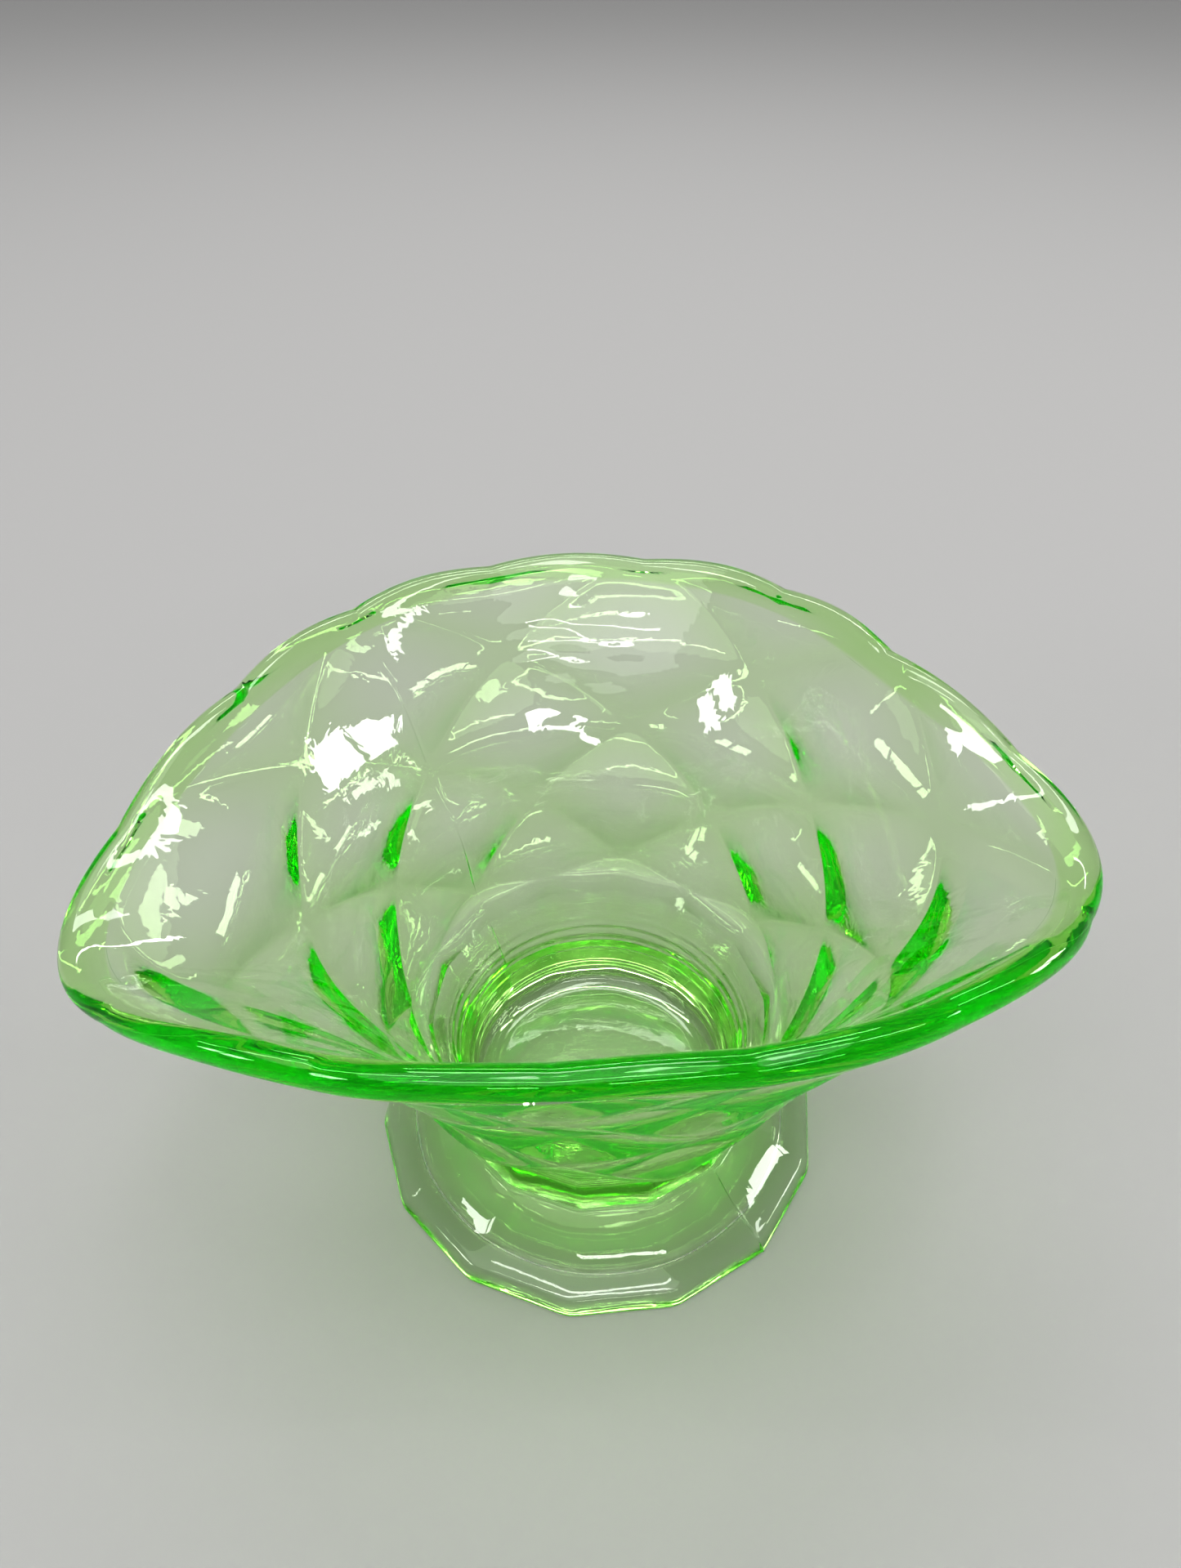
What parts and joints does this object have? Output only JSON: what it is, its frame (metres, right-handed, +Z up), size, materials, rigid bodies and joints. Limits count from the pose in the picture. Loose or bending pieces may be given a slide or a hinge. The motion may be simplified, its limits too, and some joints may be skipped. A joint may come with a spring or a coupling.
{
  "type": "footed pressed-glass fan bowl",
  "caption": "Footed bowl of green pressed glass with hollow diamond facets, a short panelled waist and a rim flared into a fan that is steep in front.",
  "frame": {"origin": "middle of the object's bounding box, on the surface that the foot stands on; the axis of the foot is 3.8 mm towards +X and 7.8 mm towards -Y of it, because the fan flares further to the back and to the left", "axes": "+Z up along the axis of the foot and waist; -Y towards the steep front of the fan; +X to the right of someone who looks at the front, along the fan's width"},
  "size_m": [0.1558, 0.1348, 0.0965],
  "materials": {
    "green_glass": "clear yellow-green pressed glass, fire-polished",
    "deep_green_glass": "the same glass where it is seen through its thickness, saturated green"
  },
  "bodies": {
    "root": {"foot": "green_glass", "waist": "green_glass", "bowl": "green_glass", "rim": "deep_green_glass"}
  },
  "joints": []
}
